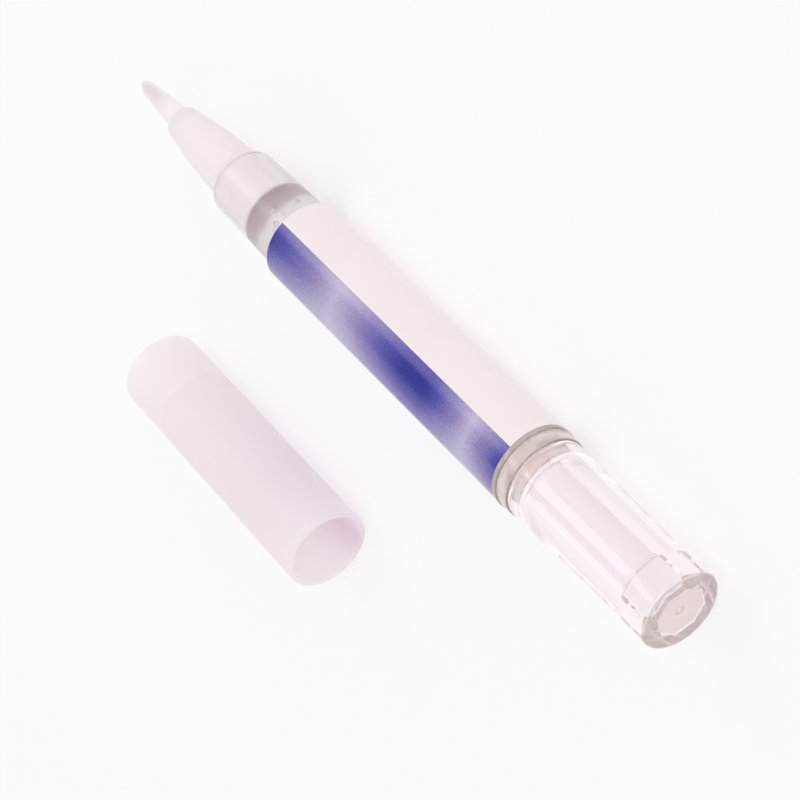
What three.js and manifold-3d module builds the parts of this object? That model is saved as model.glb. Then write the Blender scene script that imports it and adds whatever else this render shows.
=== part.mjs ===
// A twist-up gel pen with a brush tip, lying on a table with its cap pulled off and laid beside it.
// Sizes are in millimetres. The pen lies along X with its brush towards +X, and +Z is up.
// A station is a distance along the pen, measured from the flat end of its twist knob.

import * as THREE from 'three';
import { mergeVertices } from 'three/addons/utils/BufferGeometryUtils.js';
import Module from 'manifold-3d';

// Clearances
const FIT = 0.05;                     // round a piece that is pressed or glued in its seat
const RUN = 0.08;                     // round a piece that turns or slides
const SEAT = 0.05;                    // between two faces that stand against each other
const SINK = 0.1;                     // how far two joined bodies reach into each other
const OVERCUT = 1;                    // how far a cutter runs past the faces that it cuts
const WELD = 7e-5;                    // corners this close are one; odd, so no round size meets its grid

// Facets
const SIDES = 36;
const ROD_SIDES = 24;
const TUBE_SIDES = 16;
const ROUND_STEPS = 3;

// Twist knob: a thick clear shell on a core with an eight-sided head
const KNOB_LENGTH = 21.88;
const KNOB_END_R = 4.63;
const KNOB_END_LENGTH = 4.0;
const KNOB_END_DRAFT = 0.07;
const KNOB_END_STEP = 0.08;
const KNOB_END_ROUND = 0.35;
const KNOB_FRONT_R = 4.77;
const KNOB_FRONT_CHAMFER = 0.15;
const KNOB_WAIST_LENGTH = 0.3;
const HEAD_SIDES = 8;
const HEAD_R = 2.94;
const HEAD_LENGTH = 4.2;
const HEAD_RECESS = 0.2;
const HEAD_TURN = THREE.MathUtils.degToRad(-8.7);
const GATE_R = 0.65;
const GATE_DEPTH = 0.15;
const SHANK_R = 2.2;
const STUB_R = 1.95;
const DRIVE_HOLE_END_WALL = 1.4;

// Tail collar: the clear ring behind the label, with a spigot at each side
const KNOB_GAP = 0.12;
const COLLAR_LENGTH = 2.2;
const COLLAR_R = 5.075;
const COLLAR_CHAMFER = 0.2;
const COLLAR_GROOVE_R = 4.62;
const COLLAR_GROOVE_WIDTH = 0.18;
const COLLAR_GROOVE_DEPTH = 0.3;
const BEARING_R = 3.5;
const BEARING_LENGTH = 1.3;
const SPIGOT_LENGTH = 6.8;
const SPIGOT_WALL = 0.55;

// Click ratchet inside the collar
const TOOTH_COUNT = 24;
const TOOTH_HEIGHT = 0.25;
const TOOTH_STEEP_SHARE = 0.15;
const RATCHET_WALL = 0.25;
const RATCHET_LENGTH = 2.4;
const PAWL_COUNT = 3;
const PAWL_HUB_WALL = 0.35;
const PAWL_ARM_THICKNESS = 0.25;
const PAWL_ARM_SWEEP = THREE.MathUtils.degToRad(85);
const PAWL_ROOT_SWEEP = THREE.MathUtils.degToRad(22);
const PAWL_STEPS = 6;

// Feed screw, its fixed nut and the piston
const LEAD = 2.0;
const THREAD_R = 1.5;
const THREAD_DEPTH = 0.35;
const THREAD_CREST = 0.5;
const THREAD_FOOT = 1.0;
const THREAD_STEPS = 12;
const THREAD_SPACE = 0.12;
const ROD_FLAT = 0.95;
const ROD_END_GAP = 0.6;
const ROD_PLAIN_END = 1.6;
const ROD_NECK_R = 0.9;
const ROD_HEAD_R = 1.7;
const ROD_HEAD_LENGTH = 1.0;
const NUT_FLANGE = 0.7;
const PISTON_REST_GAP = 1.3;
const PISTON_LENGTH = 9.2;
const PISTON_WAIST_R = 3.6;
const PISTON_LIP_LENGTH = 1.5;
const PISTON_LIP_EDGE = 0.35;
const PISTON_NOSE_R = 2.4;
const PISTON_NOSE_LENGTH = 1.4;
const PISTON_SKIRT_BORE_R = 2.8;
const PISTON_SKIRT_DEPTH = 3.0;
const SOCKET_LIP_LENGTH = 0.8;

// Barrel, its neck and its label
const BODY_LENGTH = 42.4;
const BARREL_R = 4.88;
const BARREL_WALL = 0.68;
const LABEL_THICKNESS = 0.1;
const LABEL_GAP = 0.02;
const LABEL_INSET = 0.05;
const SHOULDER_LENGTH = 2.4;
const SHOULDER_WALL = 0.7;
const NECK_LENGTH = 12.8;
const NECK_REAR_R = 4.36;
const NECK_FRONT_R = 4.05;
const NECK_BORE_R = 3.5;
const NECK_ROUND = 0.35;

// Nozzle, feed tube and brush
const PLUG_LENGTH = 6.9;
const PLUG_WALL = 0.5;
const PLUG_LEAD_IN = 0.4;
const PLUG_FUNNEL_LENGTH = 2.4;
const NOZZLE_LENGTH = 13.2;
const NOZZLE_BASE_R = 3.36;
const NOZZLE_MIDDLE_R = 2.97;
const NOZZLE_MIDDLE_SHARE = 0.46;
const NOZZLE_SHOULDER_R = 2.42;
const NOZZLE_SHOULDER_LENGTH = 2.7;
const NOZZLE_FRONT_R = 1.98;
const NOZZLE_FRONT_ROUND = 0.2;
const NOZZLE_STEPS = 9;
const FERRULE_LENGTH = 5.0;
const FERRULE_R = 1.78;
const FERRULE_WALL = 0.1;
const TUBE_R = 0.45;
const TUBE_WALL = 0.17;
const TUBE_REACH = 0.9;
const TUBE_TAIL = 0.4;
const BRUSH_LENGTH = 9.0;
const BACKING_LENGTH = 4.0;
const BACKING_RECESS = 0.5;
const STRAND_RINGS = 7;
const STRAND_PITCH = 0.15;
const STRAND_R = 0.055;
const STRAND_EDGE_GAP = 0.06;
const TUFT_CLOSING = 0.57;
const TUFT_CROWN = 1.1;
const STRAND_RAGGED = 0.25;
const GOLDEN_SHARE = 0.618;            // spreads the strands' ragged ends evenly

// Cap: a hollow tube, closed at one end, that pushes over the neck
const CAP_R = 5.05;
const CAP_DRAFT = 0.05;
const CAP_END_WALL = 0.9;
const CAP_END_ROUND = 0.5;
const CAP_TIP_GAP = 0.3;
const CAP_MOUTH_CHAMFER = 0.2;
const CAP_LEAD_IN = 0.6;
const CAP_STEP_R = 3.75;
const CAP_DEEP_R = 2.8;
const CAP_DEEP_ROUND = 0.4;
const CAP_SPACING = 29.9;
const CAP_MIDDLE_STATION = 67.5;

// Stations along the pen
const COLLAR_REAR = KNOB_LENGTH + KNOB_GAP;
const COLLAR_FRONT = COLLAR_REAR + COLLAR_LENGTH;
const SPIGOT_FRONT = COLLAR_FRONT + SPIGOT_LENGTH;
const BARREL_REAR = COLLAR_FRONT + SEAT;
const BODY_FRONT = BARREL_REAR + BODY_LENGTH;
const NECK_FRONT = BODY_FRONT + NECK_LENGTH;
const PLUG_REAR = NECK_FRONT - PLUG_LENGTH;
const FUNNEL_REAR = NECK_FRONT - PLUG_WALL;
const FUNNEL_FRONT = FUNNEL_REAR + PLUG_FUNNEL_LENGTH;
const NOZZLE_FRONT = NECK_FRONT + NOZZLE_LENGTH;
const FERRULE_REAR = NOZZLE_FRONT - FERRULE_LENGTH;
const BACKING_FRONT = NOZZLE_FRONT - BACKING_RECESS;
const BRUSH_TIP = NOZZLE_FRONT + BRUSH_LENGTH;
const RATCHET_REAR = COLLAR_FRONT + SEAT;
const RATCHET_FRONT = RATCHET_REAR + RATCHET_LENGTH;
const NUT_REAR = RATCHET_FRONT + SEAT;
const NUT_FRONT = SPIGOT_FRONT + SEAT + NUT_FLANGE;
const SHANK_FRONT = COLLAR_FRONT + SEAT;
const STUB_FRONT = RATCHET_FRONT - SEAT;
const DRIVE_HOLE_REAR = HEAD_RECESS + GATE_DEPTH + DRIVE_HOLE_END_WALL;
const ROD_REAR = DRIVE_HOLE_REAR + ROD_END_GAP;
const PISTON_REAR = NUT_FRONT + PISTON_REST_GAP;
const PISTON_FRONT = PISTON_REAR + PISTON_LENGTH;
const SOCKET_REAR = PISTON_REAR + PISTON_SKIRT_DEPTH;
const ROD_HEAD_REAR = SOCKET_REAR + SOCKET_LIP_LENGTH + RUN;
const ROD_HEAD_FRONT = ROD_HEAD_REAR + ROD_HEAD_LENGTH;
const THREAD_FRONT = PISTON_REAR;
const CAP_DEPTH = NECK_LENGTH + NOZZLE_LENGTH + BRUSH_LENGTH + CAP_TIP_GAP;
const CAP_LENGTH = CAP_DEPTH + CAP_END_WALL;

// Radii that follow from a neighbour
const BARREL_BORE_R = BARREL_R - BARREL_WALL;
const LABEL_R = BARREL_R + LABEL_GAP + LABEL_THICKNESS;
const SPIGOT_R = BARREL_BORE_R - FIT;
const SPIGOT_BORE_R = SPIGOT_R - SPIGOT_WALL;
const RATCHET_R = SPIGOT_BORE_R - FIT;
const TOOTH_ROOT_R = RATCHET_R - RATCHET_WALL;
const TOOTH_TIP_R = TOOTH_ROOT_R - TOOTH_HEIGHT;
const PLUG_R = NECK_BORE_R - FIT;
const ROD_CORE_R = THREAD_R - THREAD_DEPTH;
const BACKING_R = FERRULE_R - FERRULE_WALL - FIT;

// Where the pen and the cap lie: the whole is centred over the origin and stands on z = 0
const FLAT = Math.cos(Math.PI / SIDES);
const PEN_X = -BRUSH_TIP / 2;
const PEN_Y = -(CAP_SPACING + (CAP_R - COLLAR_R) * FLAT) / 2;
const CAP_Y = PEN_Y + CAP_SPACING;

const FULL_TURN = 2 * Math.PI;
const wasm = await Module();
wasm.setup();

// A bore whose flats stay clear of a round piece that turns in it
function aroundBore(radius, sides = SIDES) {
  return radius / Math.cos(Math.PI / sides);
}

function signedVolume(position, index) {
  const corner = [new THREE.Vector3(), new THREE.Vector3(), new THREE.Vector3()];
  let sum = 0;
  for (let i = 0; i < index.length; i += 3) {
    corner.forEach((point, k) => point.fromBufferAttribute(position, index[i + k]));
    sum += corner[0].dot(corner[1].clone().cross(corner[2]));
  }
  return sum / 6;
}

// Shared vertices, no flat triangles, faces outwards
function cleaned(geometry) {
  const bare = geometry.clone();
  bare.deleteAttribute('normal');
  bare.deleteAttribute('uv');
  const merged = mergeVertices(bare, WELD);
  const index = [];
  for (let i = 0; i < merged.index.count; i += 3) {
    const [a, b, c] = [0, 1, 2].map((k) => merged.index.getX(i + k));
    if (a !== b && b !== c && c !== a) {
      index.push(a, b, c);
    }
  }
  if (signedVolume(merged.attributes.position, index) < 0) {
    index.reverse();
  }
  merged.setIndex(index);
  return merged;
}

function solidOf(geometry) {
  const bare = cleaned(geometry);
  return new wasm.Manifold(new wasm.Mesh({
    numProp: 3,
    vertProperties: new Float32Array(bare.attributes.position.array),
    triVerts: new Uint32Array(bare.index.array),
  }));
}

function geometryOf(solid) {
  const mesh = solid.getMesh();
  const geometry = new THREE.BufferGeometry();
  geometry.setAttribute('position', new THREE.BufferAttribute(new Float32Array(mesh.vertProperties), 3));
  geometry.setIndex(new THREE.BufferAttribute(new Uint32Array(mesh.triVerts), 1));
  return geometry;
}

// A turned piece: [station, radius] points in order round its section, which starts and ends on the
// axis or closes on itself. Flats face up, down and to both sides.
function turned(points, sides = SIDES) {
  const outline = points.map(([station, radius]) => new THREE.Vector2(radius, station));
  const startsOnAxis = points[0][1] === 0;
  if (!startsOnAxis) {
    outline.push(outline[0].clone());
  }
  const lathe = new THREE.LatheGeometry(outline, sides, Math.PI / sides, FULL_TURN);
  return cleaned(lathe.rotateZ(-Math.PI / 2));
}

// A quarter round at an outside edge, from the flat face to the side, as [station, radius] points
function edgeRound(faceStation, sideR, size, inwards) {
  return Array.from({ length: ROUND_STEPS + 1 }, (_, i) => {
    const angle = (Math.PI / 2) * (1 - i / ROUND_STEPS);
    const along = faceStation + inwards * size * (1 - Math.sin(angle));
    return [along, sideR - size * (1 - Math.cos(angle))];
  });
}

// A plain round rod between two stations
function round(rear, front, radius, sides = SIDES) {
  return turned([[rear, 0], [rear, radius], [front, radius], [front, 0]], sides);
}

// A flat outline across the pen, made as thick as the stretch between two stations
function plate(shape, rear, front) {
  const slab = new THREE.ExtrudeGeometry(shape, { depth: front - rear, bevelEnabled: false });
  return slab.rotateY(Math.PI / 2).translate(rear, 0, 0);
}

// A round rod with two flats, for the feed screw and the hole that drives it
function twoFlats(rear, front, radius, flat) {
  const slab = new THREE.BoxGeometry(front - rear + OVERCUT, 2 * flat, 2 * radius + OVERCUT);
  slab.translate((front + rear) / 2, 0, 0);
  return solidOf(round(rear, front, radius, ROD_SIDES)).intersect(solidOf(slab));
}

// A right-hand thread's ridge, as one strip of four-cornered sections along its helix
function threadRidge(rear, front, footR, crestR, foot, crest) {
  const steps = Math.ceil(((front - rear) / LEAD) * THREAD_STEPS);
  const corners = [[-foot / 2, footR], [-crest / 2, crestR], [crest / 2, crestR], [foot / 2, footR]];
  const position = [];
  const index = [];
  for (let i = 0; i <= steps; i += 1) {
    const station = rear + (i * LEAD) / THREAD_STEPS;
    const angle = (FULL_TURN * station) / LEAD;
    corners.forEach(([along, radius]) => {
      position.push(station + along, radius * Math.cos(angle), radius * Math.sin(angle));
    });
  }
  const count = corners.length;
  for (let i = 0; i < steps; i += 1) {
    for (let k = 0; k < count; k += 1) {
      const a = i * count + k;
      const b = i * count + ((k + 1) % count);
      index.push(a, b, b + count, a, b + count, a + count);
    }
  }
  const last = steps * count;
  index.push(0, 2, 1, 0, 3, 2, last, last + 1, last + 2, last, last + 2, last + 3);
  const ridge = new THREE.BufferGeometry();
  ridge.setAttribute('position', new THREE.Float32BufferAttribute(position, 3));
  ridge.setIndex(index);
  return ridge;
}

function headPrism(rear, front, radius) {
  const prism = new THREE.CylinderGeometry(radius, radius, front - rear, HEAD_SIDES);
  return prism.rotateZ(-Math.PI / 2).rotateX(HEAD_TURN).translate((rear + front) / 2, 0, 0);
}

// The clear outside of the knob, with the socket for the core's head and the seat on the collar
function knobShell() {
  const bearingRear = COLLAR_REAR - BEARING_LENGTH - KNOB_GAP;
  const shankBore = SHANK_R + FIT;
  const seat = aroundBore(BEARING_R + RUN);
  const endR = KNOB_END_R - KNOB_END_DRAFT;
  const waist = KNOB_END_LENGTH + KNOB_WAIST_LENGTH;
  const body = solidOf(turned([
    [0, shankBore],
    ...edgeRound(0, KNOB_END_R, KNOB_END_ROUND, 1),
    [KNOB_END_LENGTH, endR],
    [waist, endR - KNOB_END_STEP],
    [KNOB_LENGTH - KNOB_FRONT_CHAMFER, KNOB_FRONT_R],
    [KNOB_LENGTH, KNOB_FRONT_R - KNOB_FRONT_CHAMFER],
    [KNOB_LENGTH, seat],
    [bearingRear, seat],
    [bearingRear, shankBore],
  ]));
  const socket = headPrism(-OVERCUT, HEAD_RECESS + HEAD_LENGTH + SEAT, HEAD_R + FIT);
  return geometryOf(body.subtract(solidOf(socket)));
}

// The core: eight-sided head, round shank through the collar, stub for the pawl ring, and a long blind
// hole with two flats that turns the feed screw and lets it slide
function knobCore() {
  const headFront = HEAD_RECESS + HEAD_LENGTH;
  const shank = turned([
    [headFront - SINK, 0],
    [headFront - SINK, SHANK_R],
    [SHANK_FRONT, SHANK_R],
    [SHANK_FRONT, STUB_R],
    [STUB_FRONT, STUB_R],
    [STUB_FRONT, 0],
  ]);
  const holeR = aroundBore(THREAD_R + RUN, ROD_SIDES);
  const hole = twoFlats(DRIVE_HOLE_REAR, STUB_FRONT + OVERCUT, holeR, ROD_FLAT + RUN);
  const gate = round(HEAD_RECESS - OVERCUT, HEAD_RECESS + GATE_DEPTH, GATE_R, TUBE_SIDES);
  const core = solidOf(headPrism(HEAD_RECESS, headFront, HEAD_R)).add(solidOf(shank));
  return geometryOf(core.subtract(hole).subtract(solidOf(gate)));
}

// The ring that shows behind the label. Its rear spigot carries the knob, its front one fills the barrel.
function tailCollar() {
  const shankBore = aroundBore(SHANK_R + RUN);
  const grooveFloor = COLLAR_REAR + COLLAR_GROOVE_DEPTH;
  const grooveInner = COLLAR_GROOVE_R - COLLAR_GROOVE_WIDTH;
  return turned([
    [COLLAR_REAR - BEARING_LENGTH, shankBore],
    [COLLAR_REAR - BEARING_LENGTH, BEARING_R],
    [COLLAR_REAR, BEARING_R],
    [COLLAR_REAR, grooveInner],
    [grooveFloor, grooveInner],
    [grooveFloor, COLLAR_GROOVE_R],
    [COLLAR_REAR, COLLAR_GROOVE_R],
    [COLLAR_REAR, COLLAR_R - COLLAR_CHAMFER],
    [COLLAR_REAR + COLLAR_CHAMFER, COLLAR_R],
    [COLLAR_FRONT - COLLAR_CHAMFER, COLLAR_R],
    [COLLAR_FRONT, COLLAR_R - COLLAR_CHAMFER],
    [COLLAR_FRONT, SPIGOT_R],
    [SPIGOT_FRONT, SPIGOT_R],
    [SPIGOT_FRONT, SPIGOT_BORE_R],
    [COLLAR_FRONT, SPIGOT_BORE_R],
    [COLLAR_FRONT, shankBore],
  ]);
}

function polar(radius, angle) {
  return new THREE.Vector2(radius * Math.cos(angle), radius * Math.sin(angle));
}

function circlePath(radius, sides) {
  const step = FULL_TURN / sides;
  return Array.from({ length: sides }, (_, i) => polar(radius, (i + 0.5) * step));
}

// A ring of saw teeth that points inwards, fixed in the collar
function ratchetRing() {
  const ring = new THREE.Shape(circlePath(RATCHET_R, SIDES));
  const step = FULL_TURN / TOOTH_COUNT;
  const teeth = [];
  for (let i = 0; i < TOOTH_COUNT; i += 1) {
    teeth.push(polar(TOOTH_TIP_R, i * step));
    teeth.push(polar(TOOTH_ROOT_R, (i + TOOTH_STEEP_SHARE) * step));
  }
  ring.holes.push(new THREE.Path(teeth));
  return plate(ring, RATCHET_REAR, RATCHET_FRONT);
}

// The springy clicker on the core's stub: a hub with curved arms, drawn as they pass under the teeth
function pawlRing() {
  const hubR = STUB_R + FIT + PAWL_HUB_WALL;
  const armOuter = TOOTH_TIP_R - RUN;
  const armInner = armOuter - PAWL_ARM_THICKNESS;
  const outline = [];
  for (let k = 0; k < PAWL_COUNT; k += 1) {
    const root = (k * FULL_TURN) / PAWL_COUNT;
    const armTip = root + PAWL_ARM_SWEEP;
    const next = root + FULL_TURN / PAWL_COUNT;
    for (let i = 0; i <= PAWL_STEPS; i += 1) {
      outline.push(polar(armOuter, root + (PAWL_ARM_SWEEP * i) / PAWL_STEPS));
    }
    for (let i = 0; i <= PAWL_STEPS; i += 1) {
      const angle = armTip - ((PAWL_ARM_SWEEP - PAWL_ROOT_SWEEP) * i) / PAWL_STEPS;
      outline.push(polar(armInner, angle));
    }
    for (let i = 0; i <= PAWL_STEPS; i += 1) {
      const from = root + PAWL_ROOT_SWEEP;
      outline.push(polar(hubR, from + ((next - from) * i) / PAWL_STEPS));
    }
  }
  const ring = new THREE.Shape(outline);
  ring.holes.push(new THREE.Path(circlePath(STUB_R + FIT, SIDES)));
  return plate(ring, RATCHET_REAR + SEAT, RATCHET_FRONT - SEAT);
}

// The fixed nut that closes the collar's spigot, with the screw's thread cut through it
function driveNut() {
  const boreR = aroundBore(ROD_CORE_R + RUN, ROD_SIDES);
  const outerR = SPIGOT_BORE_R - FIT;
  const blank = solidOf(turned([
    [NUT_REAR, 0],
    [NUT_REAR, outerR],
    [SPIGOT_FRONT + SEAT, outerR],
    [SPIGOT_FRONT + SEAT, SPIGOT_R],
    [NUT_FRONT, SPIGOT_R],
    [NUT_FRONT, 0],
  ]));
  const bore = solidOf(round(NUT_REAR - OVERCUT, NUT_FRONT + OVERCUT, boreR, ROD_SIDES));
  const groove = threadRidge(
    NUT_REAR - LEAD,
    NUT_FRONT + LEAD,
    ROD_CORE_R - SINK,
    THREAD_R + THREAD_SPACE,
    THREAD_FOOT + 2 * THREAD_SPACE,
    THREAD_CREST + 2 * THREAD_SPACE,
  );
  return geometryOf(blank.subtract(bore).subtract(solidOf(groove)));
}

// The feed screw: thread on two sides of a flat-sided rod, with a button at its front in the piston
function screwRod() {
  const threadRear = ROD_REAR + ROD_PLAIN_END;
  const ridge = threadRidge(
    threadRear,
    THREAD_FRONT - THREAD_FOOT,
    ROD_CORE_R - SINK,
    THREAD_R,
    THREAD_FOOT,
    THREAD_CREST,
  );
  const core = solidOf(round(ROD_REAR, THREAD_FRONT, ROD_CORE_R, ROD_SIDES));
  const slab = new THREE.BoxGeometry(THREAD_FRONT + LEAD, 2 * ROD_FLAT, 4 * THREAD_R);
  slab.translate((THREAD_FRONT + LEAD) / 2, 0, 0);
  const flatSided = core.add(solidOf(ridge)).intersect(solidOf(slab));
  const button = turned([
    [THREAD_FRONT - SINK, 0],
    [THREAD_FRONT - SINK, ROD_NECK_R],
    [ROD_HEAD_REAR, ROD_NECK_R],
    [ROD_HEAD_REAR, ROD_HEAD_R],
    [ROD_HEAD_FRONT, ROD_HEAD_R],
    [ROD_HEAD_FRONT, 0],
  ], ROD_SIDES);
  return geometryOf(flatSided.add(solidOf(button)));
}

// The piston: two sealing lips, a blunt nose, and a socket that snaps over the screw's button
function piston() {
  const lipR = BARREL_BORE_R - RUN;
  const socketR = aroundBore(ROD_HEAD_R + RUN);
  const lipBore = aroundBore(ROD_NECK_R + RUN);
  const socketFloor = ROD_HEAD_FRONT + RUN;
  const rearLipFront = PISTON_REAR + PISTON_LIP_LENGTH;
  const noseRear = PISTON_FRONT - PISTON_NOSE_LENGTH;
  const frontLipRear = noseRear - PISTON_LIP_LENGTH;
  return turned([
    [socketFloor, 0],
    [socketFloor, socketR],
    [ROD_HEAD_REAR - RUN, socketR],
    [ROD_HEAD_REAR - RUN, lipBore],
    [SOCKET_REAR, lipBore],
    [SOCKET_REAR, PISTON_SKIRT_BORE_R],
    [PISTON_REAR, PISTON_SKIRT_BORE_R],
    [PISTON_REAR, lipR - PISTON_LIP_EDGE],
    [PISTON_REAR + PISTON_LIP_EDGE, lipR],
    [rearLipFront, lipR],
    [rearLipFront + PISTON_LIP_EDGE, PISTON_WAIST_R],
    [frontLipRear - PISTON_LIP_EDGE, PISTON_WAIST_R],
    [frontLipRear, lipR],
    [noseRear, lipR],
    [PISTON_FRONT, PISTON_NOSE_R],
    [PISTON_FRONT, 0],
  ]);
}

// The clear barrel: gel chamber, shoulder, and the neck that holds the nozzle and takes the cap
function barrel() {
  const shoulderFront = BODY_FRONT - SHOULDER_WALL;
  return turned([
    [BARREL_REAR, BARREL_BORE_R],
    [BARREL_REAR, BARREL_R],
    [BODY_FRONT, BARREL_R],
    [BODY_FRONT, NECK_REAR_R],
    ...edgeRound(NECK_FRONT, NECK_FRONT_R, NECK_ROUND, -1).reverse(),
    [NECK_FRONT, NECK_BORE_R],
    [shoulderFront, NECK_BORE_R],
    [shoulderFront - SHOULDER_LENGTH, BARREL_BORE_R],
  ]);
}

// The printed film wrapped round the barrel
function label() {
  const rear = BARREL_REAR + LABEL_INSET;
  const front = BODY_FRONT - LABEL_INSET;
  const innerR = BARREL_R + LABEL_GAP;
  return turned([[rear, innerR], [rear, LABEL_R], [front, LABEL_R], [front, innerR]]);
}

// The frosted nozzle: a hollow plug pressed into the neck, and a rounded cone with the brush's seat
function nozzle() {
  const channelR = TUBE_R + FIT;
  const seatR = FERRULE_R + FIT;
  const plugBoreR = PLUG_R - PLUG_WALL;
  const shoulder = NOZZLE_FRONT - NOZZLE_SHOULDER_LENGTH;
  const cone = new THREE.SplineCurve([
    new THREE.Vector2(NECK_FRONT, NOZZLE_BASE_R),
    new THREE.Vector2(NECK_FRONT + NOZZLE_LENGTH * NOZZLE_MIDDLE_SHARE, NOZZLE_MIDDLE_R),
    new THREE.Vector2(shoulder, NOZZLE_SHOULDER_R),
    new THREE.Vector2(NOZZLE_FRONT - NOZZLE_FRONT_ROUND, NOZZLE_FRONT_R),
  ]);
  return turned([
    [PLUG_REAR, plugBoreR],
    [PLUG_REAR, PLUG_R - PLUG_LEAD_IN / 2],
    [PLUG_REAR + PLUG_LEAD_IN, PLUG_R],
    [NECK_FRONT, PLUG_R],
    ...cone.getPoints(NOZZLE_STEPS).map((point) => [point.x, point.y]),
    [NOZZLE_FRONT, NOZZLE_FRONT_R - NOZZLE_FRONT_ROUND / 2],
    [NOZZLE_FRONT, seatR],
    [FERRULE_REAR - SEAT, seatR],
    [FERRULE_REAR - SEAT, channelR],
    [FUNNEL_FRONT, channelR],
    [FUNNEL_REAR, plugBoreR],
  ]);
}

// The thin tube that carries gel through the nozzle into the brush
function feedTube() {
  const rear = FUNNEL_FRONT + TUBE_TAIL;
  const front = BACKING_FRONT + TUBE_REACH;
  const innerR = TUBE_R - TUBE_WALL;
  return turned([[rear, innerR], [rear, TUBE_R], [front, TUBE_R], [front, innerR]], TUBE_SIDES);
}

// The sleeve that grips the root of the brush
function brushFerrule() {
  const innerR = FERRULE_R - FERRULE_WALL;
  return turned([
    [FERRULE_REAR, innerR],
    [FERRULE_REAR, FERRULE_R],
    [NOZZLE_FRONT, FERRULE_R],
    [NOZZLE_FRONT, innerR],
  ]);
}

// Three-sided strands in rings, drawn together towards the tip, on the welded ring at their root
function bristles() {
  const boreR = TUBE_R + FIT;
  const firstR = boreR + STRAND_EDGE_GAP + STRAND_R;
  const lastR = BACKING_R - STRAND_EDGE_GAP - STRAND_R;
  const tuftLength = BRUSH_TIP - BACKING_FRONT;
  const corners = 3;
  const position = [];
  const index = [];
  let strand = 0;
  for (let ring = 0; ring < STRAND_RINGS; ring += 1) {
    const ringR = firstR + ((lastR - firstR) * ring) / (STRAND_RINGS - 1);
    const count = Math.floor((FULL_TURN * ringR) / STRAND_PITCH);
    for (let i = 0; i < count; i += 1) {
      const angle = (FULL_TURN * (i + ring / 2)) / count;
      const ragged = STRAND_RAGGED * ((strand * GOLDEN_SHARE) % 1);
      const tip = BRUSH_TIP - TUFT_CROWN * (ring / (STRAND_RINGS - 1)) ** 2 - ragged;
      const closed = 1 - (TUFT_CLOSING * (tip - BACKING_FRONT)) / tuftLength;
      const first = position.length / 3;
      [[BACKING_FRONT - SINK, 1], [tip, closed]].forEach(([station, scale]) => {
        const centre = polar(ringR * scale, angle);
        for (let k = 0; k < corners; k += 1) {
          const corner = polar(STRAND_R * scale, angle + (FULL_TURN * k) / corners).add(centre);
          position.push(station, corner.x, corner.y);
        }
      });
      for (let k = 0; k < corners; k += 1) {
        const a = first + k;
        const b = first + ((k + 1) % corners);
        index.push(a, b, b + corners, a, b + corners, a + corners);
      }
      index.push(first, first + 2, first + 1, first + 3, first + 4, first + 5);
      strand += 1;
    }
  }
  const strands = new THREE.BufferGeometry();
  strands.setAttribute('position', new THREE.Float32BufferAttribute(position, 3));
  strands.setIndex(index);
  const rear = BACKING_FRONT - BACKING_LENGTH;
  const backing = turned([
    [rear, boreR],
    [rear, BACKING_R],
    [BACKING_FRONT, BACKING_R],
    [BACKING_FRONT, boreR],
  ], ROD_SIDES);
  return geometryOf(solidOf(backing).add(solidOf(strands)));
}

// The cap, from its mouth at 0 to its closed end: a tapered seat for the neck, then room for the nozzle
function capShell() {
  const seatRearR = NECK_REAR_R + RUN;
  const seatFrontR = NECK_FRONT_R + RUN;
  return turned([
    [CAP_DEPTH, 0],
    [CAP_DEPTH, CAP_DEEP_R - CAP_DEEP_ROUND],
    [CAP_DEPTH - CAP_DEEP_ROUND, CAP_DEEP_R],
    [NECK_LENGTH + CAP_LEAD_IN, CAP_STEP_R],
    [NECK_LENGTH + SEAT, seatFrontR],
    [CAP_LEAD_IN, seatRearR],
    [0, seatRearR + CAP_MOUTH_CHAMFER],
    [0, CAP_R - CAP_MOUTH_CHAMFER],
    [CAP_MOUTH_CHAMFER, CAP_R],
    ...edgeRound(CAP_LENGTH, CAP_R - CAP_DRAFT, CAP_END_ROUND, -1).reverse(),
    [CAP_LENGTH, 0],
  ]);
}

function plastic(color, roughness, opacity = 1) {
  const transparent = opacity < 1;
  return new THREE.MeshStandardMaterial({ color, roughness, metalness: 0, opacity, transparent });
}

const clear = plastic('#e8dfe2', 0.08, 0.35);
const frosted = plastic('#f5ebef', 0.45, 0.85);
const printed = plastic('#f3e9ea', 0.35);
const nylon = plastic('#eee5e5', 0.6);
const white = plastic('#f1ecec', 0.4);

function piece(name, geometry, material) {
  const mesh = new THREE.Mesh(geometry, material);
  mesh.name = name;
  return mesh;
}

const pen = new THREE.Group();
pen.position.set(PEN_X, PEN_Y, COLLAR_R * FLAT);
pen.add(
  piece('knob_shell', knobShell(), clear),
  piece('knob_core', knobCore(), frosted),
  piece('tail_collar', tailCollar(), clear),
  piece('ratchet_ring', ratchetRing(), white),
  piece('pawl_ring', pawlRing(), white),
  piece('drive_nut', driveNut(), white),
  piece('screw_rod', screwRod(), white),
  piece('piston', piston(), white),
  piece('barrel', barrel(), clear),
  piece('label', label(), printed),
  piece('nozzle', nozzle(), frosted),
  piece('feed_tube', feedTube(), white),
  piece('brush_ferrule', brushFerrule(), white),
  piece('bristles', bristles(), nylon),
);

const cap = new THREE.Group();
cap.position.set(PEN_X + CAP_MIDDLE_STATION - CAP_LENGTH / 2, CAP_Y, CAP_R * FLAT);
cap.add(piece('cap_shell', capShell(), frosted));

const wholePen = new THREE.Group();
wholePen.add(pen, cap);

export default wholePen;
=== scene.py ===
# A twist-up gel pen with a brush tip, and its cap pulled off and laid beside it.
# Lengths are written in millimetres and turned to metres where a mesh is made.
import math

import bmesh
import bpy
from mathutils import Matrix, Vector


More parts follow.
